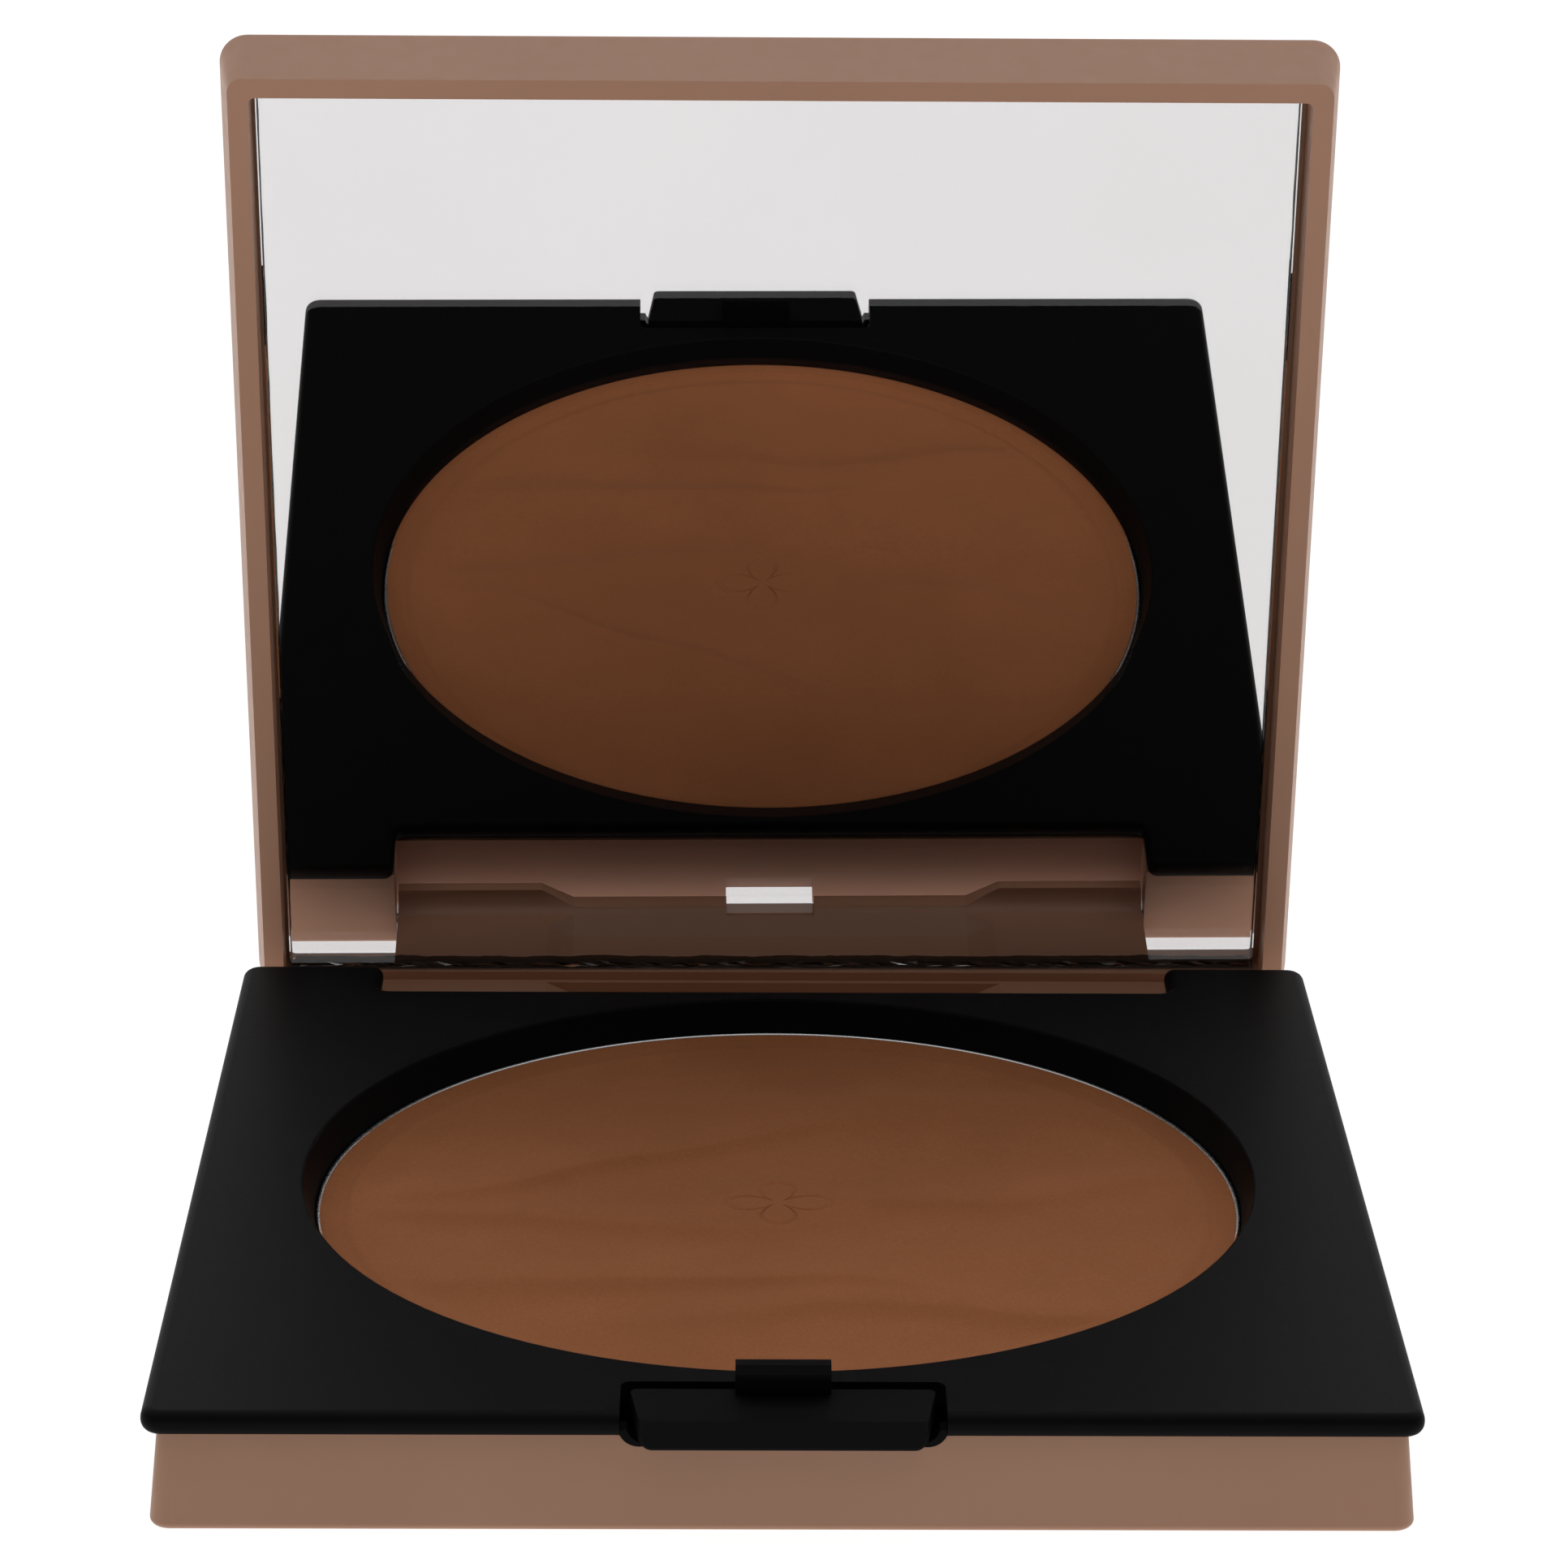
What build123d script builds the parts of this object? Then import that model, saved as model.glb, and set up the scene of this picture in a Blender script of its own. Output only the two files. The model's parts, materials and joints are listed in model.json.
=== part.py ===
from build123d import *

import math
import os

# Powder compact with a hinged mirror lid, modelled with the lid open.
# Millimetres, +Z up, +X to the right, +Y towards the hinge.
# The origin is the middle of the flat underside.

# --- driving dimensions -------------------------------------------------------------------------
LIP_WIDTH = 80.0           # black insert, the widest part of the base
LIP_DEPTH = 79.0
LIP_TOP = 8.15             # height of the insert's top face
LIP_THICK = 1.6
LIP_CORNER = 1.3
LIP_ROUND = 0.72           # rounding of the lip's upper and lower edges

BASE_WIDTH = 79.4          # at the underside; the walls lean inwards from there
BASE_DEPTH = 78.4
BASE_DRAFT = 5.7           # degrees
BASE_CORNER = 1.4
BASE_EDGE = 0.45           # rounding of the bottom edge
BASE_TOP = LIP_TOP - LIP_THICK
FLOOR = 1.2
CAVITY_WIDTH = 74.8
CAVITY_DEPTH = 74.0

WELL_Y = -0.3              # the well's centre, a little in front of the middle
WELL_TOP_R = 32.6
WELL_R = 31.85
WELL_WALL = 1.3
WELL_FLOOR_TOP = 2.35
WELL_FLOOR = 0.9

PAN_R = 31.75
PAN_WALL = 0.35
PAN_FLOOR = 0.4
PAN_TOP = 5.9
GLUE_THICK = 0.15
POWDER_EDGE = 5.68
POWDER_CROWN = 5.95

BAY_HALF = 29.5            # hinge notch, through the insert and the base
BAY_FRONT = 34.4
BAY_WALL = 1.2
BAY_END_WALL = 1.4
SLOT_HALF = 3.45           # small clip window at the foot of the bay's wall
SLOT_DEPTH = 2.6
SLOT_HIGH = 1.0

PIVOT_Y = 38.0
PIVOT_Z = 1.35
PIN_R = 0.6
PIN_RUNNING = 0.05
PIN_INNER_X = 24.5
PIN_OUTER_X = 39.0
KNUCKLE_R = 1.2
OPEN_ANGLE = 79.8          # degrees from closed to the modelled pose

LID_GAP = 0.08             # between the closed rim and the insert
RIM_WIDTH = 77.86
RIM_FRONT = 38.15
RIM_REAR = 38.3
LID_FLARE = 9.4            # degrees
LID_HIGH = 6.42
LID_CORNER = 1.1
LID_EDGE = 0.5
RIM_WALL = 1.45
MIRROR_DEPTH = 2.65        # from the rim's face to the glass
SEAT_DEPTH = 4.1           # from the rim's face to the panel behind the mirror
GLASS_THICK = 1.2
SILVER_THICK = 0.1
TAPE_THICK = 0.15
MIRROR_LEAN = 0.42         # degrees, deeper towards +X when closed, as the tape lets it sit
MIRROR_LEFT = -37.2
MIRROR_RIGHT = 37.0
MIRROR_FRONT = -36.5
MIRROR_REAR = 35.95

LEAF_HALF = 29.3
LEAF_OUTER = 39.2
LEAF_INNER = 36.85
LEAF_THIN = 37.85          # inner face in the middle, where the leaf is relieved
RELIEF_HALF = 15.5
RELIEF_SLANT = 2.0
TOE_Y = 35.3               # the foot that closes the bay's floor
TOE_RELIEF_Y = 36.57

BUTTON_HALF_FRONT = 8.95
BUTTON_HALF_REAR = 9.6
BUTTON_FRONT = -40.3
BUTTON_REAR = -35.6
BUTTON_LOW = 6.05
SLOT_X = 10.2
SLOT_REAR = -34.5
CUTOUT_HALF = 10.35
CUTOUT_LOW = 5.62
LINING_WALL = 0.25         # the insert's thin lining of the cut-out
LINING_PLAY = 0.05
LINING_HALF = 9.8          # the lining's clear half width, beside the button
BLOCK_HALF = 7.8           # the button's block, which slides between two rails
BLOCK_FRONT = -36.8
BLOCK_REAR = -35.95
HOOK_HALF = 3.0
HOOK_TOP = 10.2
HOOK_NOSE = -36.95
CATCH_HALF = 4.5
SPRING_END_X = 12.6
SPRING_THICK = 0.25
PEG_R = 0.7

LABEL_WIDTH = 40.0
LABEL_DEPTH = 22.0
LABEL_Y = 17.0
LABEL_RECESS = 0.2

RIM_Z = LIP_TOP + LID_GAP
GLASS_Z = RIM_Z + MIRROR_DEPTH
SEAT_Z = RIM_Z + SEAT_DEPTH
LID_TOP = RIM_Z + LID_HIGH


# --- helpers ------------------------------------------------------------------------------------
def block(x0, x1, y0, y1, z0, z1):
    """A box between two corners."""
    centre = Location(((x0 + x1) / 2, (y0 + y1) / 2, (z0 + z1) / 2))
    return centre * Box(x1 - x0, y1 - y0, z1 - z0)


def slab(width, depth, corner, z0, z1, y=0.0, taper=0.0):
    """A plate with round corners, centred on x = 0."""
    outline = Pos(0, y, z0) * RectangleRounded(width, depth, corner)
    return extrude(outline, z1 - z0, taper=taper)


def disc(radius, z0, z1, x=0.0, y=0.0):
    """An upright cylinder between two heights."""
    return Pos(x, y, (z0 + z1) / 2) * Cylinder(radius, z1 - z0)


def rod(radius, x0, x1, y, z):
    """A cylinder along X."""
    return Pos((x0 + x1) / 2, y, z) * Rot(0, 90, 0) * Cylinder(radius, abs(x1 - x0))


def along_x(points, x0, x1):
    """A straight prism along X, from an outline of (y, z) points."""
    wire = Polyline(*[(x0, y, z) for y, z in points], close=True)
    return extrude(make_face(wire), x1 - x0, dir=(1, 0, 0))


def open_lid(shape):
    """Turn a piece that is modelled with the lid closed into the open pose."""
    return shape.rotate(Axis((0, PIVOT_Y, PIVOT_Z), (-1, 0, 0)), OPEN_ANGLE)


# --- base ---------------------------------------------------------------------------------------
def make_base_shell():
    body = slab(BASE_WIDTH, BASE_DEPTH, BASE_CORNER, 0, BASE_TOP, taper=BASE_DRAFT)
    body = fillet(body.faces().sort_by(Axis.Z)[0].edges(), BASE_EDGE)
    cavity = slab(CAVITY_WIDTH, CAVITY_DEPTH, 0.8, FLOOR, BASE_TOP + 1)
    bay_shell = block(
        -BAY_HALF - BAY_END_WALL, BAY_HALF + BAY_END_WALL,
        BAY_FRONT - BAY_WALL, BASE_DEPTH / 2 - 1, 0, BASE_TOP,
    )
    body = body - (cavity - bay_shell)
    body -= block(-BAY_HALF, BAY_HALF, BAY_FRONT, BASE_DEPTH, -1, BASE_TOP + 1)
    body -= button_cutout()
    body -= clip_window()
    body -= slab(LABEL_WIDTH, LABEL_DEPTH, 2.0, -1, LABEL_RECESS, y=LABEL_Y)
    for side in (-1, 1):
        body -= rod(PIN_R, side * (BAY_HALF - 1), side * (BASE_WIDTH / 2 + 1), PIVOT_Y, PIVOT_Z)
        body += disc(PEG_R, FLOOR - 0.2, FLOOR + 3.8, side * SPRING_END_X, SLOT_REAR + 0.5)
        rail_x = sorted((side * (BLOCK_HALF + 0.1), side * (BLOCK_HALF + 0.9)))
        body += block(*rail_x, -CAVITY_DEPTH / 2 - 0.1, BLOCK_REAR + 0.15, FLOOR - 0.2, FLOOR + 1.8)
    body += floor_ring()
    for x, y in snap_places():
        body -= block(x - 0.35, x + 0.35, y - 4.3, y + 4.3, 4.4, 5.6)
    return body


def button_cutout():
    """The round-cornered opening in the front wall, under the button."""
    high = BASE_TOP + 2 - CUTOUT_LOW
    outline = RectangleRounded(2 * CUTOUT_HALF, high, 1.35)
    place = Pos(0, -CAVITY_DEPTH / 2 + 0.5, CUTOUT_LOW + high / 2) * Rot(90, 0, 0)
    return extrude(place * outline, 4)


def clip_window():
    """The see-through corner where the bay's wall meets the floor."""
    rear = BAY_FRONT + 1
    opening = block(-SLOT_HALF, SLOT_HALF, BAY_FRONT - SLOT_DEPTH, rear, -1, FLOOR + 0.01)
    opening += block(-SLOT_HALF, SLOT_HALF, BAY_FRONT - BAY_WALL - 0.01, rear, -1, SLOT_HIGH)
    recess = block(-SLOT_HALF, SLOT_HALF, BAY_FRONT - 0.5, rear, SLOT_HIGH - 0.1, SLOT_HIGH + 1.1)
    return opening + recess


def floor_ring():
    """The low rib that the well's floor stands on."""
    top = WELL_FLOOR_TOP - WELL_FLOOR
    ring = disc(26.0, FLOOR - 0.2, top, y=WELL_Y) - disc(24.8, FLOOR - 1, top + 1, y=WELL_Y)
    return ring


def snap_places():
    """Where the insert's four beads click into the base's side walls."""
    return [(side * CAVITY_WIDTH / 2, y) for side in (-1, 1) for y in (-18.0, 18.0)]


# --- insert -------------------------------------------------------------------------------------
def lip_outline():
    """The insert's outline, with the hinge notch in its rear edge."""
    outline = RectangleRounded(LIP_WIDTH, LIP_DEPTH, LIP_CORNER)
    notch_depth = LIP_DEPTH / 2 - BAY_FRONT
    notch = Pos(0, BAY_FRONT + notch_depth) * Rectangle(2 * BAY_HALF, 2 * notch_depth)
    outline = outline - notch
    corners = [v for v in outline.vertices() if abs(abs(v.X) - BAY_HALF) < 0.01]
    return fillet(corners, 0.8)


def make_inner_deck():
    plate = extrude(Pos(0, 0, BASE_TOP) * lip_outline(), LIP_THICK)
    faces = plate.faces().sort_by(Axis.Z)
    plate = fillet(faces[0].edges() + faces[-1].edges(), LIP_ROUND)
    cup_r = WELL_R + WELL_WALL
    body = plate + disc(cup_r, WELL_FLOOR_TOP - WELL_FLOOR, LIP_TOP - 0.8, y=WELL_Y)
    body += deck_skirt()
    slope = Pos(0, WELL_Y, (PAN_TOP + LIP_TOP) / 2) * Cone(WELL_R, WELL_TOP_R, LIP_TOP - PAN_TOP)
    body -= slope
    body -= disc(WELL_R, WELL_FLOOR_TOP, PAN_TOP + 0.01, y=WELL_Y)
    mouth = body.edges().filter_by(GeomType.CIRCLE).filter_by(
        lambda e: abs(e.radius - WELL_TOP_R) < 0.01 and abs(e.center().Z - LIP_TOP) < 0.01
    )
    body = fillet(mouth, 0.22)
    body -= button_slot()
    return body + button_lining()


def button_slot():
    """The opening in the lip for the button, with round inner corners."""
    deep = -SLOT_REAR
    outline = Pos(0, SLOT_REAR - deep / 2, 0) * RectangleRounded(2 * SLOT_X, deep, 0.7)
    return extrude(Pos(0, 0, BASE_TOP - 1) * outline, LIP_THICK + 3)


def button_lining():
    """The thin black border of the opening under the button, hanging from the lip."""
    low = CUTOUT_LOW + LINING_PLAY
    high = 2 * (BASE_TOP + 1.3 - low)
    half = CUTOUT_HALF - LINING_PLAY
    face = RectangleRounded(2 * half, high, 1.3)
    inner_high = high - 2 * LINING_WALL
    face -= RectangleRounded(2 * LINING_HALF, inner_high, 1.2)
    ring = extrude(Pos(0, -37.55, low + high / 2) * Rot(90, 0, 0) * face, 1.2)
    return ring - block(-LIP_WIDTH, LIP_WIDTH, -BASE_DEPTH, 0, BASE_TOP + 0.3, BASE_TOP + 9)


def deck_skirt():
    """The walls that locate the insert in the base, with their snap beads."""
    half_x = CAVITY_WIDTH / 2 - 0.1
    half_y = CAVITY_DEPTH / 2 - 0.1
    low = 3.6
    high = BASE_TOP + 0.2
    skirt = None
    for side in (-1, 1):
        xs = sorted((side * half_x, side * (half_x - 1.0)))
        wall = block(*xs, -half_y + 0.8, BAY_FRONT - BAY_WALL - 0.2, low, high)
        front_x = sorted((side * (half_x - 0.8), side * (SPRING_END_X + 3)))
        wall += block(*front_x, -half_y, -half_y + 1.0, low, high)
        skirt = wall if skirt is None else skirt + wall
    for x, y in snap_places():
        bead_x = x - math.copysign(0.1, x)
        skirt += block(bead_x - 0.25, bead_x + 0.25, y - 4.0, y + 4.0, 4.6, 5.4)
    return skirt


# --- pan and powder -----------------------------------------------------------------------------
def make_powder_pan():
    bottom = WELL_FLOOR_TOP + GLUE_THICK
    cup = disc(PAN_R, bottom, PAN_TOP, y=WELL_Y)
    cup = fillet(cup.faces().sort_by(Axis.Z)[0].edges(), 0.6)
    cup -= disc(PAN_R - PAN_WALL, bottom + PAN_FLOOR, PAN_TOP + 1, y=WELL_Y)
    return cup


def make_pressed_powder():
    """The powder cake: a disc with a slightly crowned top."""
    bottom = WELL_FLOOR_TOP + GLUE_THICK + PAN_FLOOR
    radius = PAN_R - PAN_WALL
    edge = Line((0, 0, bottom), (radius, 0, bottom))
    wall = Line((radius, 0, bottom), (radius, 0, POWDER_EDGE))
    rise = POWDER_CROWN - POWDER_EDGE
    crown_r = (radius ** 2 + rise ** 2) / (2 * rise)
    mid_x = radius / 2
    mid_z = POWDER_CROWN - crown_r + math.sqrt(crown_r ** 2 - mid_x ** 2)
    crown = ThreePointArc((radius, 0, POWDER_EDGE), (mid_x, 0, mid_z), (0, 0, POWDER_CROWN))
    axis = Line((0, 0, POWDER_CROWN), (0, 0, bottom))
    cake = revolve(make_face(edge + wall + crown + axis), Axis.Z, 360)
    return Pos(0, WELL_Y, 0) * cake


def make_pan_adhesive():
    ring = disc(24.0, WELL_FLOOR_TOP, WELL_FLOOR_TOP + GLUE_THICK, y=WELL_Y)
    return ring - disc(15.0, WELL_FLOOR_TOP - 1, WELL_FLOOR_TOP + 1, y=WELL_Y)


# --- hinge pins and label -----------------------------------------------------------------------
def make_hinge_pin(side):
    pin = rod(PIN_R, side * PIN_INNER_X, side * PIN_OUTER_X, PIVOT_Y, PIVOT_Z)
    return chamfer(pin.edges().filter_by(GeomType.CIRCLE), 0.12)


def make_underside_label():
    return slab(LABEL_WIDTH - 0.4, LABEL_DEPTH - 0.4, 1.8, 0.08, LABEL_RECESS, y=LABEL_Y)


# --- button -------------------------------------------------------------------------------------
def make_latch_button():
    taper = [
        (-BUTTON_HALF_FRONT, BUTTON_FRONT), (BUTTON_HALF_FRONT, BUTTON_FRONT),
        (BUTTON_HALF_REAR, BUTTON_REAR), (-BUTTON_HALF_REAR, BUTTON_REAR),
    ]
    tongue_low = LIP_TOP - 1.5
    outline = make_face(Polyline(*[(x, y, tongue_low) for x, y in taper], close=True))
    body = extrude(fillet(outline.vertices(), 0.45), LIP_TOP - tongue_low)
    face_high = LIP_TOP - 0.2 - BUTTON_LOW
    face = RectangleRounded(2 * BUTTON_HALF_FRONT, face_high, 0.8)
    place = Pos(0, BUTTON_FRONT + 1.0, BUTTON_LOW + face_high / 2) * Rot(90, 0, 0)
    front = extrude(place * face, 1.0)
    front = fillet(front.faces().sort_by(Axis.Y)[0].edges(), 0.3)
    body += front
    body += block(-BLOCK_HALF, BLOCK_HALF, BLOCK_FRONT, BLOCK_REAR, FLOOR + 0.15, tongue_low + 0.1)
    return body + latch_hook()


def latch_hook():
    """The hook that holds the closed lid's front rim."""
    stem = HOOK_NOSE + 0.5
    points = [
        (stem, LIP_TOP - 0.5), (stem, 9.5), (HOOK_NOSE, 9.5), (HOOK_NOSE, 9.75),
        (stem, HOOK_TOP), (BUTTON_REAR, HOOK_TOP), (BUTTON_REAR, LIP_TOP - 0.5),
    ]
    return along_x(points, -HOOK_HALF, HOOK_HALF)


def make_button_spring():
    """A shallow steel bow: its middle bears on the button, its ends on the two pegs."""
    end_y = SLOT_REAR + 0.5 - PEG_R - 0.02
    middle_y = BLOCK_REAR + SPRING_THICK + 0.02
    low = FLOOR + 1.0
    end_x = SPRING_END_X + 1
    rear = ThreePointArc((-end_x, end_y, low), (0, middle_y, low), (end_x, end_y, low))
    front = rear.translate((0, -SPRING_THICK, 0))
    ends = Line(rear @ 0, front @ 0) + Line(rear @ 1, front @ 1)
    return extrude(make_face(rear + front + ends), 2.4)


# --- lid ----------------------------------------------------------------------------------------
def make_lid_shell():
    depth = RIM_FRONT + RIM_REAR
    middle = (RIM_REAR - RIM_FRONT) / 2
    body = slab(RIM_WIDTH, depth, LID_CORNER, RIM_Z, LID_TOP, y=middle, taper=-LID_FLARE)
    body = fillet(body.faces().sort_by(Axis.Z)[-1].edges(), LID_EDGE)
    body += leaf()
    inner = RIM_WIDTH / 2 - RIM_WALL
    front = -RIM_FRONT + RIM_WALL
    body -= rounded_block(inner, front, LEAF_INNER, RIM_Z - 1, GLASS_Z - 0.3)
    body -= leaning(rounded_block(inner, front, MIRROR_REAR + 0.15, GLASS_Z - 1, SEAT_Z))
    body -= block(-CATCH_HALF, CATCH_HALF, front - 0.55, front + 0.1, RIM_Z + 1.1, RIM_Z + 2.7)
    body -= leaf_relief()
    for side in (-1, 1):
        body -= rod(PIN_R + PIN_RUNNING, side * (PIN_INNER_X - 0.3), side * 32, PIVOT_Y, PIVOT_Z)
    return open_lid(body)


def leaning(shape):
    """Lean the mirror, or its seat, about the lid's long axis."""
    return shape.rotate(Axis((0, 0, SEAT_Z), (0, 1, 0)), -MIRROR_LEAN)


def rounded_block(half_x, y0, y1, z0, z1):
    """The mirror recess: a slab between two y values."""
    return slab(2 * half_x, y1 - y0, 0.5, z0, z1, y=(y0 + y1) / 2)


def leaf():
    """The lid's rear wall, which hangs in the notch and carries the hinge knuckle and foot."""
    top = LID_TOP - 1.0
    low = PIVOT_Z - KNUCKLE_R
    foot_top = low + 1.1
    cove = LEAF_INNER - TOE_Y
    slope = math.radians(45)
    cove_middle = (0, TOE_Y + cove * math.sin(slope), foot_top + cove * (1 - math.cos(slope)))
    outline = [
        Line((0, PIVOT_Y, low), (0, TOE_Y, low)),
        Line((0, TOE_Y, low), (0, TOE_Y, foot_top)),
        ThreePointArc((0, TOE_Y, foot_top), cove_middle, (0, LEAF_INNER, foot_top + cove)),
        Line((0, LEAF_INNER, foot_top + cove), (0, LEAF_INNER, top)),
        Line((0, LEAF_INNER, top), (0, LEAF_OUTER, top)),
        Line((0, LEAF_OUTER, top), (0, LEAF_OUTER, PIVOT_Z)),
        CenterArc((0, 0), KNUCKLE_R, 270, 90),
    ]
    knuckle = Plane((0, PIVOT_Y, PIVOT_Z), x_dir=(0, 1, 0), z_dir=(1, 0, 0))
    edges = Curve() + [knuckle * piece if isinstance(piece, CenterArc) else piece for piece in outline]
    profile = make_face(edges)
    return Pos(-LEAF_HALF, 0, 0) * extrude(profile, 2 * LEAF_HALF, dir=(1, 0, 0))


def leaf_relief():
    """The shallow channel down the middle of the leaf, with slanted ends."""
    ramp_low = PIVOT_Z + 0.7
    ramp_high = PIVOT_Z + 3.0
    low = PIVOT_Z - 3
    lower = extrude(trough(TOE_RELIEF_Y, low), ramp_low - low)
    ramp = loft([trough(TOE_RELIEF_Y, ramp_low), trough(LEAF_THIN, ramp_high)])
    upper = extrude(trough(LEAF_THIN, ramp_high), GLASS_Z - 0.65 - ramp_high)
    notch = block(-SLOT_HALF, SLOT_HALF, TOE_Y - 1, PIVOT_Y - 0.75, PIVOT_Z - 3, PIVOT_Z + 1.3)
    return upper + ramp + lower + notch


def trough(y_deep, z):
    """The channel's outline at one height, open towards -Y and wider at its mouth."""
    mouth = TOE_Y - 0.5
    wide = RELIEF_HALF + RELIEF_SLANT * (y_deep - mouth)
    corners = [(-RELIEF_HALF, y_deep), (RELIEF_HALF, y_deep), (wide, mouth), (-wide, mouth)]
    return make_face(Polyline(*[(x, y, z) for x, y in corners], close=True))


def mirror_plate(z0, z1, inset=0.0):
    """A plate of the mirror's outline, turned with the lid."""
    plate = block(
        MIRROR_LEFT + inset, MIRROR_RIGHT - inset, MIRROR_FRONT + inset, MIRROR_REAR - inset, z0, z1,
    )
    return open_lid(leaning(plate))


def make_mirror_glass():
    return mirror_plate(GLASS_Z, GLASS_Z + GLASS_THICK)


def make_mirror_silvering():
    return mirror_plate(GLASS_Z + GLASS_THICK, GLASS_Z + GLASS_THICK + SILVER_THICK)


def make_mirror_tape():
    return mirror_plate(SEAT_Z - TAPE_THICK, SEAT_Z, inset=4.0)


# --- write every piece --------------------------------------------------------------------------
PIECES = {
    "base_shell": make_base_shell,
    "inner_deck": make_inner_deck,
    "powder_pan": make_powder_pan,
    "pressed_powder": make_pressed_powder,
    "pan_adhesive": make_pan_adhesive,
    "hinge_pin_left": lambda: make_hinge_pin(-1),
    "hinge_pin_right": lambda: make_hinge_pin(1),
    "underside_label": make_underside_label,
    "latch_button": make_latch_button,
    "button_spring": make_button_spring,
    "lid_shell": make_lid_shell,
    "mirror_glass": make_mirror_glass,
    "mirror_silvering": make_mirror_silvering,
    "mirror_tape": make_mirror_tape,
}

os.makedirs("parts", exist_ok=True)
for name, make in PIECES.items():
    export_step(make(), f"parts/{name}.step")
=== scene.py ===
import json
import math
import random

import bmesh
import bpy
from mathutils import Matrix, Vector, noise


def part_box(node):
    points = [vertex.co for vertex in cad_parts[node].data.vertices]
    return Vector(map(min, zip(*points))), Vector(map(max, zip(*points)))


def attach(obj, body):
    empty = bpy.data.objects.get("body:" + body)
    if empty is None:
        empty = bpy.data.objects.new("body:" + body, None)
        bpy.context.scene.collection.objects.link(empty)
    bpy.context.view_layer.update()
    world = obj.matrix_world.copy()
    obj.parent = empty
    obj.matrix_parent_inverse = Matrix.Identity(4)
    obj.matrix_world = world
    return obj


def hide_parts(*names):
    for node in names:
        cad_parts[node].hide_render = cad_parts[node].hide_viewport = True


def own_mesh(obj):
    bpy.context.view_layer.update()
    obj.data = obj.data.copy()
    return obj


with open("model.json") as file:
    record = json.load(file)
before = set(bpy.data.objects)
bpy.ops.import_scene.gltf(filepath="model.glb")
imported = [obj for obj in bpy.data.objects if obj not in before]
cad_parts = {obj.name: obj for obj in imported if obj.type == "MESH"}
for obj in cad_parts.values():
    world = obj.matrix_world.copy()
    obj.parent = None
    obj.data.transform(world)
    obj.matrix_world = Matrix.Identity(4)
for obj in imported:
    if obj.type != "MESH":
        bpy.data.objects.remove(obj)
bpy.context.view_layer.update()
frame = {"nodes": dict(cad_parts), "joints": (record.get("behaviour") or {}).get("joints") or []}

# Lengths below are millimetres, and become metres where a mesh is made.
MM = 0.001
NODES = frame["nodes"]
HINGE = next(j for j in frame["joints"] if j["name"] == "lid_hinge")
PIVOT = Vector(HINGE["pos_m"]) / MM
OPEN_TURN = Matrix.Rotation(-math.radians(HINGE["range_deg"][0]), 3, Vector(HINGE["axis"]))


# --- helpers ------------------------------------------------------------------------------------
def opened(point):
    """A point of the closed lid, in millimetres, turned to the open pose."""
    return PIVOT + OPEN_TURN @ (Vector(point) - PIVOT)


def closed(point):
    """A point of the open lid, in millimetres, turned back to the closed pose."""
    return PIVOT + OPEN_TURN.transposed() @ (Vector(point) - PIVOT)


def new_piece(name, verts, faces, material, body, replaces=(), smooth=True):
    """A mesh piece from points in millimetres, riding on a body."""
    mesh = bpy.data.meshes.new(name)
    mesh.from_pydata([tuple(Vector(v) * MM) for v in verts], [], faces)
    piece = bpy.data.objects.new(name, mesh)
    bpy.context.scene.collection.objects.link(piece)
    bm = bmesh.new()
    bm.from_mesh(mesh)
    bmesh.ops.recalc_face_normals(bm, faces=bm.faces)
    for face in bm.faces:
        face.smooth = smooth
    bm.to_mesh(mesh)
    bm.free()
    mesh.materials.append(material)
    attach(piece, body)
    if replaces:
        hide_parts(*replaces)
    return piece


def keep_edges_crisp(piece, degrees):
    """Smooth shading that still breaks at the sharp edges."""
    bm = bmesh.new()
    bm.from_mesh(piece.data)
    for edge in bm.edges:
        edge.smooth = len(edge.link_faces) == 2 and edge.calc_face_angle(0) < math.radians(degrees)
    bm.to_mesh(piece.data)
    bm.free()


def lathe(profile, centre_y, steps):
    """Verts and faces of a closed (radius, height) outline turned about a vertical axis."""
    verts = []
    for i in range(steps):
        turn = 2 * math.pi * i / steps
        for radius, height in profile:
            verts.append((radius * math.cos(turn), centre_y + radius * math.sin(turn), height))
    count = len(profile)
    faces = []
    for i in range(steps):
        a, b = i * count, (i + 1) % steps * count
        for j in range(count):
            k = (j + 1) % count
            faces.append((a + j, b + j, b + k, a + k))
    return verts, faces


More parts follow.
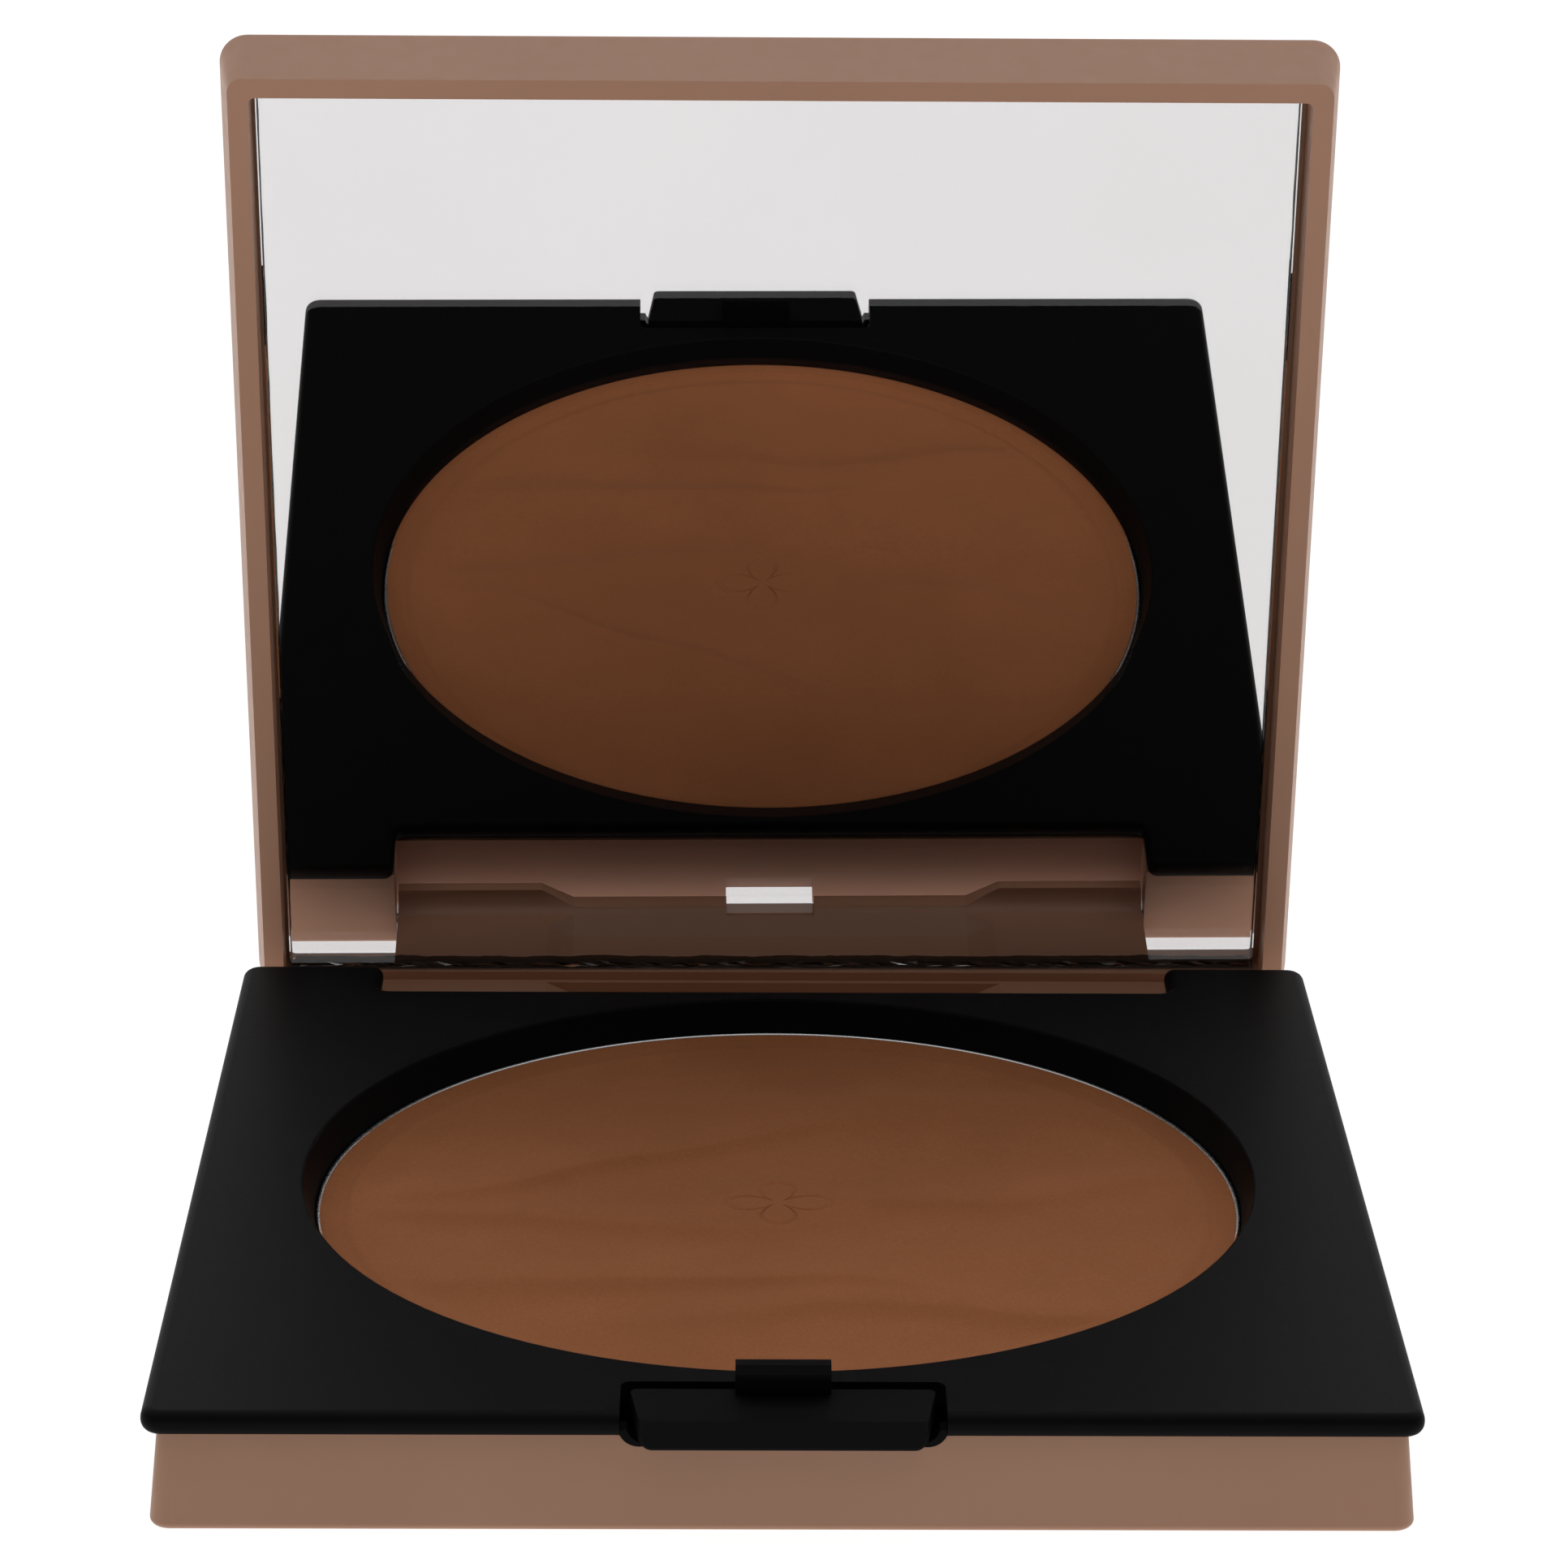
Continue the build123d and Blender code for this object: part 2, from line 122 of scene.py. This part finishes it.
# --- materials ----------------------------------------------------------------------------------
class Shader:
    """A principled material with procedural colour, roughness and bump."""

    def __init__(self, name, **sockets):
        self.material = bpy.data.materials.new(name)
        self.material.use_nodes = True
        self.tree = self.material.node_tree
        self.bsdf = self.tree.nodes["Principled BSDF"]
        for socket, value in sockets.items():
            self.bsdf.inputs[socket.replace("_", " ")].default_value = value
        self.place = self.node("ShaderNodeTexCoord").outputs["Object"]
        self.normal = None

    def node(self, kind, **settings):
        made = self.tree.nodes.new(kind)
        for key, value in settings.items():
            setattr(made, key, value)
        return made

    def link(self, source, target):
        self.tree.links.new(source, target)

    def grain(self, per_metre, detail=3.0, rough=0.5, stretch=None):
        """A noise value over the object's own coordinates."""
        place = self.place
        if stretch:
            mapping = self.node("ShaderNodeMapping")
            mapping.inputs["Scale"].default_value = stretch
            self.link(place, mapping.inputs["Vector"])
            place = mapping.outputs["Vector"]
        texture = self.node("ShaderNodeTexNoise")
        texture.inputs["Scale"].default_value = per_metre
        texture.inputs["Detail"].default_value = detail
        texture.inputs["Roughness"].default_value = rough
        self.link(place, texture.inputs["Vector"])
        return texture.outputs["Fac"]

    def ramp(self, value, stops):
        made = self.node("ShaderNodeValToRGB")
        band = made.color_ramp
        while len(band.elements) < len(stops):
            band.elements.new(0.5)
        for element, (position, colour) in zip(band.elements, stops):
            element.position = position
            element.color = (*colour, 1.0)
        self.link(value, made.inputs["Fac"])
        return made.outputs["Color"]

    def spread(self, value, low, high):
        made = self.node("ShaderNodeMapRange")
        made.inputs["From Min"].default_value = 0.3
        made.inputs["From Max"].default_value = 0.7
        made.inputs["To Min"].default_value = low
        made.inputs["To Max"].default_value = high
        self.link(value, made.inputs["Value"])
        return made.outputs["Result"]

    def colour(self, value, stops):
        self.link(self.ramp(value, stops), self.bsdf.inputs["Base Color"])

    def roughness(self, value, low, high):
        self.link(self.spread(value, low, high), self.bsdf.inputs["Roughness"])

    def bump(self, value, height_mm, strength=1.0):
        made = self.node("ShaderNodeBump")
        made.inputs["Strength"].default_value = strength
        made.inputs["Distance"].default_value = height_mm * MM
        self.link(value, made.inputs["Height"])
        if self.normal is not None:
            self.link(self.normal, made.inputs["Normal"])
        self.normal = made.outputs["Normal"]
        self.link(self.normal, self.bsdf.inputs["Normal"])


def nude_plastic(name, low, high):
    """Satin warm beige moulded plastic: faint flow mottling and a very fine spark-eroded grain."""
    made = Shader(name, Specular_IOR_Level=0.45)
    made.colour(made.grain(60, 4), [(0.3, low), (0.7, high)])
    made.roughness(made.grain(900, 3), 0.40, 0.50)
    made.bump(made.grain(5200, 2), 0.004, 0.5)
    return made.material


def black_plastic(name, rough_low, rough_high):
    """Matt black moulded plastic with an even, fine texture and a slight sheen."""
    made = Shader(name, Specular_IOR_Level=0.035)
    made.colour(made.grain(300, 4), [(0.3, (0.0042, 0.0042, 0.0044)), (0.7, (0.0049, 0.0049, 0.0052))])
    made.roughness(made.grain(2600, 3), rough_low, rough_high)
    made.bump(made.grain(6500, 2), 0.006, 0.6)
    return made.material


def powder_material():
    """Pressed powder: fine grain, soft mottling, a few lighter mineral specks."""
    made = Shader("pressed_powder_fill", Specular_IOR_Level=0.12, Roughness=0.85)
    mix = made.node("ShaderNodeMix", data_type="RGBA", blend_type="MULTIPLY")
    mix.inputs["Factor"].default_value = 1.0
    broad = made.ramp(made.grain(95, 5, 0.55), [(0.3, (0.347, 0.125, 0.047)), (0.7, (0.393, 0.142, 0.055))])
    specks = [(0.25, (0.86, 0.85, 0.83)), (0.6, (1.0, 1.0, 1.0)), (0.8, (1.12, 1.14, 1.16))]
    fine = made.ramp(made.grain(4200, 4, 0.7), specks)
    made.link(broad, mix.inputs[6])
    made.link(fine, mix.inputs[7])
    made.link(mix.outputs[2], made.bsdf.inputs["Base Color"])
    made.roughness(made.grain(2500, 2), 0.78, 0.92)
    made.bump(made.grain(3800, 4, 0.65), 0.02, 0.5)
    made.bsdf.inputs["Sheen Weight"].default_value = 0.04
    made.bsdf.inputs["Sheen Roughness"].default_value = 0.5
    return made.material


def metal(name, colour, rough_low, rough_high, stretch=None):
    """Drawn metal, with fine marks along one direction where it has been turned or drawn."""
    made = Shader(name, Metallic=1.0)
    dark = tuple(c * 0.9 for c in colour)
    made.colour(made.grain(800, 3, stretch=stretch), [(0.3, dark), (0.7, colour)])
    made.roughness(made.grain(2200, 3, stretch=stretch), rough_low, rough_high)
    made.bump(made.grain(5000, 2, stretch=stretch), 0.003, 0.5)
    return made.material


def glass_material():
    """Clear float glass with a hint of green and faint smears on its face."""
    made = Shader("clear_glass", Transmission_Weight=1.0, IOR=1.5)
    made.colour(made.grain(40, 2), [(0.3, (0.965, 0.985, 0.975)), (0.7, (0.985, 0.995, 0.990))])
    made.roughness(made.grain(70, 4), 0.0, 0.012)
    return made.material


def silver_material():
    """The mirror's reflecting coat, a little grey."""
    made = Shader("mirror_silver", Metallic=1.0)
    made.colour(made.grain(30, 2), [(0.3, (0.752, 0.712, 0.725)), (0.7, (0.762, 0.722, 0.735))])
    made.roughness(made.grain(50, 3), 0.0, 0.01)
    return made.material


def plain_material(name, low, high, per_metre, rough, bump_mm):
    """For the small hidden pieces: two near tones, uneven roughness and a light bump."""
    made = Shader(name)
    made.colour(made.grain(per_metre, 4), [(0.3, low), (0.7, high)])
    made.roughness(made.grain(per_metre * 2, 3), rough - 0.06, rough + 0.06)
    made.bump(made.grain(per_metre * 4, 3), bump_mm, 0.6)
    return made.material


# The casing uses the lid's nude plastic at nine tenths of its tone. This is painted shade, standing in for
# the dimmer light that falls on the base's front wall.
SHADED_CASING = nude_plastic("nude_casing_plastic_painted_shade", (0.405, 0.206, 0.122), (0.430, 0.222, 0.134))
LID = nude_plastic("nude_lid_plastic", (0.450, 0.228, 0.136), (0.475, 0.244, 0.148))
INSERT = black_plastic("matt_black_insert", 0.45, 0.49)
BUTTON = black_plastic("matt_black_button", 0.52, 0.56)
POWDER = powder_material()
PAN = metal("pan_aluminium", (0.78, 0.79, 0.80), 0.22, 0.34)
STEEL = metal("pin_steel", (0.55, 0.55, 0.56), 0.22, 0.34, (1, 14, 14))
SPRING = metal("spring_steel", (0.42, 0.42, 0.44), 0.25, 0.36, (1, 10, 10))
GLASS = glass_material()
SILVER = silver_material()
PAINT = plain_material("mirror_back_paint", (0.010, 0.008, 0.008), (0.022, 0.016, 0.014), 900, 0.6, 0.01)
LABEL = plain_material("label_paper", (0.78, 0.77, 0.74), (0.84, 0.83, 0.80), 700, 0.72, 0.01)
GLUE = plain_material("pan_glue", (0.62, 0.60, 0.52), (0.70, 0.68, 0.60), 300, 0.4, 0.05)
TAPE = plain_material("mirror_foam_tape", (0.10, 0.10, 0.10), (0.16, 0.16, 0.16), 1500, 0.8, 0.05)

CARRIED = {
    "base_shell": SHADED_CASING, "inner_deck": INSERT, "latch_button": BUTTON, "lid_shell": LID,
    "hinge_pin_left": STEEL, "hinge_pin_right": STEEL, "button_spring": SPRING,
    "pan_adhesive": GLUE, "mirror_tape": TAPE, "underside_label": LABEL,
}
for node_name, node_material in CARRIED.items():
    node_mesh = NODES[node_name].data
    node_mesh.materials.clear()
    node_mesh.materials.append(node_material)


# --- powder cake --------------------------------------------------------------------------------
cake_low, cake_high = (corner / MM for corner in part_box("pressed_powder"))
CAKE_R = (cake_high.x - cake_low.x) / 2
CAKE_Y = (cake_high.y + cake_low.y) / 2
CAKE_TOP = cake_high.z
CAKE_EDGE = CAKE_TOP - 0.33      # the crown's height at the edge
CAKE_SWELL = 0.12                # how much the middle stands above the edge
RELIEF_GAIN = 3.6
RELIEF_SINK = 0.40               # the valleys lie this far below the crown
CREST_ROUND = 0.35
RIM_TOP = CAKE_TOP - 0.05        # the thin lip of powder that laps over the pan's rim
RIM_DROP = 0.10                  # how much lower it is at the rear, where the metal shows
RIM_LAP = 0.30
RIM_RUN = 0.75                   # how far in the lip reaches
GROOVE_IN = 1.35                 # the pressing tool's groove, measured in from the edge
GROOVE_WIDE = 0.45
GROOVE_DEEP = 0.20


def smooth(value, low, high):
    """From 0 to 1 between two values, without a corner."""
    t = min(1.0, max(0.0, (value - low) / (high - low)))
    return t * t * (3 - 2 * t)


def fold(x, y, start, lift, sway, along, height, steep, broad):
    """A crest running across the cake, steep towards the front and broad towards the rear."""
    run = (x - along) / 16
    middle = start + lift * run + sway * math.sin(run * 1.35)
    away = y - middle
    width = broad if away > 0 else steep
    fade = math.exp(-((x - along) / 19) ** 4)
    bend = math.hypot(away, CREST_ROUND) - CREST_ROUND
    return height * fade * math.exp(-(bend / width) ** 1.5)


def relief(x, y):
    """Height of the pressed folds over the cake's smooth crown."""
    x += 1.6 * noise.noise(Vector((x / 14, y / 14, 2.7)))
    y += 1.8 * noise.noise(Vector((x / 11, y / 11, 9.1)))
    total = fold(x, y, 8.4, 3.4, 3.6, -9, 0.17, 1.2, 5.2)
    total += fold(x, y, -2.4, 1.7, -2.6, -17, 0.13, 1.3, 4.4)
    total += fold(x, y, -12.8, -3.0, 2.4, -10, 0.16, 1.1, 4.8)
    total += fold(x, y, -17.8, 1.9, -1.6, 13, 0.15, 1.2, 4.0)
    total += fold(x, y, 2.6, 1.5, 1.8, 19, 0.13, 1.3, 4.4)
    total += fold(x, y, 18.4, -2.4, 2.0, 7, 0.12, 1.3, 4.0)
    total += fold(x, y, 23.6, 2.2, 1.2, -6, 0.08, 1.2, 3.0)
    return RELIEF_GAIN * total - RELIEF_SINK + 0.03 * noise.noise(Vector((x / 6, y / 6, 5.3)))


MOTIF_R = 3.6                    # the generic four-petal motif in the middle
MOTIF_LINE = 0.24
MOTIF_DEEP = 0.13


def motif(x, y):
    """Depth of a pressed outline of four round petals, one on each axis."""
    reach = math.hypot(x, y)
    petal = MOTIF_R * abs(math.cos(2 * math.atan2(y, x))) ** 0.6
    return MOTIF_DEEP * math.exp(-((reach - petal) / MOTIF_LINE) ** 2) * smooth(reach, 0.3, 0.9)


def cake_height(x, y):
    """Height of the powder's surface, from the middle out to the pan's wall."""
    share = min(1.0, math.hypot(x, y) / CAKE_R)
    inward = (1 - share) * CAKE_R
    crown = CAKE_EDGE + CAKE_SWELL * (1 - share ** 2)
    calm = smooth(inward, GROOVE_IN, GROOVE_IN + 3.5)
    centre = 1 - 0.85 * math.exp(-(math.hypot(x, y) / 5.6) ** 4)
    height = crown + calm * centre * relief(x, y) - motif(x, y)
    height -= GROOVE_DEEP * math.exp(-((inward - GROOVE_IN) / GROOVE_WIDE) ** 2)
    rim = RIM_TOP - RIM_DROP * bare(math.atan2(y, x))
    height += (rim - height) * (1 - smooth(inward, 0.1, RIM_RUN))
    return min(height, CAKE_TOP)


def bare(turn):
    """From 0 at the front, where powder laps over the pan's rim, to 1 at the rear."""
    return smooth(math.sin(turn), -0.25, 0.25)


def make_cake():
    rings, steps = 230, 460
    verts = [(0, CAKE_Y, cake_height(0, 0))]
    for i in range(1, rings + 1):
        radius = CAKE_R * i / rings
        for j in range(steps):
            turn = 2 * math.pi * j / steps
            x, y = radius * math.cos(turn), radius * math.sin(turn)
            verts.append((x, CAKE_Y + y, cake_height(x, y)))
    skirt = [
        (RIM_LAP, RIM_TOP - 0.015, RIM_DROP), (RIM_LAP, RIM_TOP - 0.20, 0),
        (0, RIM_TOP - 0.22, 0), (0, cake_low.z, 0),
    ]
    for lap, level, drop in skirt:
        for j in range(steps):
            turn = 2 * math.pi * j / steps
            radius = CAKE_R + lap * (1 - bare(turn))
            height = level - drop * bare(turn)
            verts.append((radius * math.cos(turn), CAKE_Y + radius * math.sin(turn), height))
    faces = [(0, 1 + j, 1 + (j + 1) % steps) for j in range(steps)]
    last = rings - 1 + len(skirt)
    for i in range(last):
        a, b = 1 + i * steps, 1 + (i + 1) * steps
        for j in range(steps):
            k = (j + 1) % steps
            faces.append((a + j, b + j, b + k, a + k))
    faces.append(tuple(1 + last * steps + j for j in reversed(range(steps))))
    return new_piece("pressed_powder_cake", verts, faces, POWDER, "base", ["pressed_powder"])


cake = make_cake()
keep_edges_crisp(cake, 60)


# --- pan ----------------------------------------------------------------------------------------
PAN_PLAY = 0.01                  # between the pan's sheet and the powder
PAN_TURN = 0.6                   # outer radius between the pan's floor and its wall
PAN_RIM_DROP = 0.01              # from the top of the CAD's pan down to the rim's


def make_pan():
    """The thin metal cup, with a rounded rim."""
    low, high = (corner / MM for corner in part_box("powder_pan"))
    outer = (high.x - low.x) / 2
    inner = CAKE_R + PAN_PLAY
    floor = cake_low.z - PAN_PLAY
    turn = PAN_TURN
    profile = [(0.01, low.z), (outer - turn - 0.4, low.z)]
    for i in range(7):
        angle = math.pi / 2 * i / 6
        profile.append((outer - turn + turn * math.sin(angle), low.z + turn - turn * math.cos(angle)))
    lip = (outer - inner) / 2
    rim_z = high.z - PAN_RIM_DROP
    for i in range(9):
        angle = math.pi * i / 8
        profile.append((outer - lip + lip * math.cos(angle), rim_z - lip + lip * math.sin(angle)))
    profile += [(inner, floor + 0.3), (inner - 0.3, floor), (0.01, floor)]
    verts, faces = lathe(profile, (low.y + high.y) / 2, 360)
    return new_piece("aluminium_pan", verts, faces, PAN, "base", ["powder_pan"])


keep_edges_crisp(make_pan(), 50)


# --- spring -------------------------------------------------------------------------------------
SPRING_THICK = 0.25
SPRING_STATIONS = 49


def make_spring():
    """The steel bow behind the button, which flattens towards its two ends."""
    low, high = (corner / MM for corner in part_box("button_spring"))
    bow = high.y - low.y - SPRING_THICK
    verts = []
    for i in range(SPRING_STATIONS):
        x = low.x + (high.x - low.x) * i / (SPRING_STATIONS - 1)
        rear = high.y - bow * (1 - (x / high.x) ** 2)
        front = rear - SPRING_THICK
        verts += [(x, rear, low.z), (x, rear, high.z), (x, front, high.z), (x, front, low.z)]
    faces = [(0, 1, 2, 3), tuple(len(verts) - 4 + j for j in (3, 2, 1, 0))]
    for i in range(SPRING_STATIONS - 1):
        a, b = 4 * i, 4 * i + 4
        faces += [(a + j, a + (j + 1) % 4, b + (j + 1) % 4, b + j) for j in range(4)]
    piece = new_piece("button_bow_spring", verts, faces, SPRING, "base", ["button_spring"])
    keep_edges_crisp(piece, 40)
    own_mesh(piece)


make_spring()


# --- mirror -------------------------------------------------------------------------------------
def closed_box(node):
    """A lid node's box in the closed pose."""
    points = [closed(v.co / MM) for v in NODES[node].data.vertices]
    low = Vector([min(p[i] for p in points) for i in range(3)])
    high = Vector([max(p[i] for p in points) for i in range(3)])
    return low, high


def outline_points(low, high, pitch):
    """Points round a rectangle, about one pitch apart, with the inward direction of each."""
    points = []
    corners = [(low.x, low.y), (high.x, low.y), (high.x, high.y), (low.x, high.y)]
    inward = [(0, 1), (-1, 0), (0, -1), (1, 0)]
    for side in range(4):
        (x0, y0), (x1, y1) = corners[side], corners[(side + 1) % 4]
        count = max(2, round(math.hypot(x1 - x0, y1 - y0) / pitch))
        for i in range(count):
            t = i / count
            direction = Vector(inward[side])
            if i == 0:
                direction += Vector(inward[side - 1])
            points.append((x0 + t * (x1 - x0), y0 + t * (y1 - y0), direction, side))
    return points


def stack(name, layers, material, replaces=()):
    """A plate made of rings of points in the closed frame, capped at both ends, then opened."""
    verts = [opened((x, y, z + MIRROR_SLOPE * x)) for ring in layers for x, y, z in ring]
    count = len(layers[0])
    faces = [tuple(range(count)), tuple(reversed(range((len(layers) - 1) * count, len(layers) * count)))]
    for i in range(len(layers) - 1):
        a, b = i * count, (i + 1) * count
        faces += [(a + j, a + (j + 1) % count, b + (j + 1) % count, b + j) for j in range(count)]
    return new_piece(name, verts, faces, material, "lid", replaces, smooth=False)


def level_box(node):
    """A leaning plate's box in the closed pose as if it lay level, and its slope along x."""
    low, high = closed_box(node)
    left = [p.z for p in (closed(v.co / MM) for v in NODES[node].data.vertices) if p.x < 0]
    right = [p.z for p in (closed(v.co / MM) for v in NODES[node].data.vertices) if p.x > 0]
    slope = (min(right) - min(left)) / (high.x - low.x)
    level = min(left) - slope * low.x
    return Vector((low.x, low.y, level)), Vector((high.x, high.y, level + max(left) - min(left))), slope


glass_low, glass_high, MIRROR_SLOPE = level_box("mirror_glass")
silver_low, silver_high, _ = level_box("mirror_silvering")
HINGE_SIDE = 2                   # the outline's side nearest the hinge


def make_glass():
    """The plate, with ground arrises and small chips broken from the back of its cut edges."""
    dice = random.Random(11)
    points = outline_points(glass_low, glass_high, 0.7)
    rings = [[], [], [], []]
    for x, y, inward, side in points:
        chip = dice.uniform(0.04, 0.28) if side == HINGE_SIDE else dice.uniform(0.03, 0.10)
        deep = dice.uniform(0.10, 0.45) if side == HINGE_SIDE else dice.uniform(0.05, 0.18)
        rings[0].append((x + inward.x * 0.10, y + inward.y * 0.10, glass_low.z))
        rings[1].append((x, y, glass_low.z + 0.08))
        rings[2].append((x, y, glass_high.z - deep))
        rings[3].append((x + inward.x * chip, y + inward.y * chip, glass_high.z))
    return stack("mirror_glass_plate", rings, GLASS, ["mirror_glass"])


def make_silver():
    """The silver coat stops short of the cut edges, most at the hinge side."""
    dice = random.Random(23)
    points = outline_points(silver_low, silver_high, 0.5)
    front, back = [], []
    for x, y, inward, side in points:
        wave = noise.noise(Vector((x / 3.0, y / 3.0, 4.0)))
        inset = 0.70 + 0.14 * wave + dice.uniform(-0.04, 0.06) if side == HINGE_SIDE else 0.16 + 0.06 * wave
        px, py = x + inward.x * inset, y + inward.y * inset
        front.append((px, py, silver_low.z + 0.012))
        back.append((px, py, silver_high.z - 0.03))
    return stack("mirror_silver_coat", [front, back], SILVER, ["mirror_silvering"])


def make_back_paint():
    """The dark paint over the silver, out to the glass's edges."""
    points = outline_points(silver_low, silver_high, 0.8)
    dice = random.Random(5)
    front, back = [], []
    for x, y, inward, side in points:
        inset = dice.uniform(0.02, 0.07)
        px, py = x + inward.x * inset, y + inward.y * inset
        front.append((px, py, silver_high.z - 0.025))
        back.append((px, py, silver_high.z - 0.004))
    return stack("mirror_back_paint", [front, back], PAINT)


make_glass()
make_silver()
make_back_paint()


# --- stage: camera, floor, light ----------------------------------------------------------------
CAMERA_AT = Vector((-3.88, -347.97, 154.50)) * MM
CAMERA_DOWN = 18.79
CAMERA_YAW = 0.67
CAMERA_ROLL = 0.425
CAMERA_LENS = 125.6


def make_camera():
    down, yaw, roll = (math.radians(a) for a in (CAMERA_DOWN, CAMERA_YAW, CAMERA_ROLL))
    ahead = Vector((math.sin(yaw) * math.cos(down), math.cos(yaw) * math.cos(down), -math.sin(down)))
    right = Vector((math.cos(yaw), -math.sin(yaw), 0))
    up = right.cross(ahead)
    side = right * math.cos(roll) + up * math.sin(roll)
    top = up * math.cos(roll) - right * math.sin(roll)
    data = bpy.data.cameras.new("photo_angle")
    data.lens = CAMERA_LENS
    data.sensor_width = 36.0
    data.clip_start, data.clip_end = 0.01, 20.0
    camera = bpy.data.objects.new("photo_angle", data)
    bpy.context.scene.collection.objects.link(camera)
    turn = Matrix((side, top, -ahead)).transposed().to_4x4()
    camera.matrix_world = Matrix.Translation(CAMERA_AT) @ turn
    bpy.context.scene.camera = camera


FLOOR_GLOW = 0.97                # the sweep reads as clean white and lights the object from below
FLOOR_DROP = 0.02


def make_floor():
    bpy.ops.mesh.primitive_plane_add(size=6.0, location=(0, 0, -FLOOR_DROP * MM))
    floor = bpy.context.object
    floor.name = "studio_floor"
    made = Shader("pale_sweep", Roughness=0.9, Specular_IOR_Level=0.0)
    made.colour(made.grain(2, 2), [(0.3, (0.11, 0.11, 0.11)), (0.7, (0.13, 0.13, 0.13))])
    made.bsdf.inputs["Emission Color"].default_value = (1, 1, 1, 1)
    made.bsdf.inputs["Emission Strength"].default_value = FLOOR_GLOW
    floor.data.materials.append(made.material)


SKY_TOWARDS = (0, 0.6, 0.8)      # the brightest part of the surround
SKY_RANGE = (-0.15, 1.1, 0.04, 1.10)     # cosine to that direction, low and high, then strength


def make_world():
    """Soft surround: dark in front and brightest overhead and behind."""
    world = bpy.data.worlds.new("soft_surround")
    bpy.context.scene.world = world
    world.use_nodes = True
    tree = world.node_tree
    back = tree.nodes["Background"]
    back.inputs["Color"].default_value = (1, 1, 1, 1)
    place = tree.nodes.new("ShaderNodeTexCoord")
    towards = tree.nodes.new("ShaderNodeVectorMath")
    towards.operation = "DOT_PRODUCT"
    towards.inputs[1].default_value = SKY_TOWARDS
    tree.links.new(place.outputs["Generated"], towards.inputs[0])
    level = tree.nodes.new("ShaderNodeMapRange")
    level.interpolation_type = "SMOOTHSTEP"
    for key, number in zip(("From Min", "From Max", "To Min", "To Max"), SKY_RANGE):
        level.inputs[key].default_value = number
    tree.links.new(towards.outputs["Value"], level.inputs["Value"])
    tree.links.new(level.outputs["Result"], back.inputs["Strength"])


make_camera()
make_floor()
make_world()
bpy.context.scene.view_settings.view_transform = "Standard"
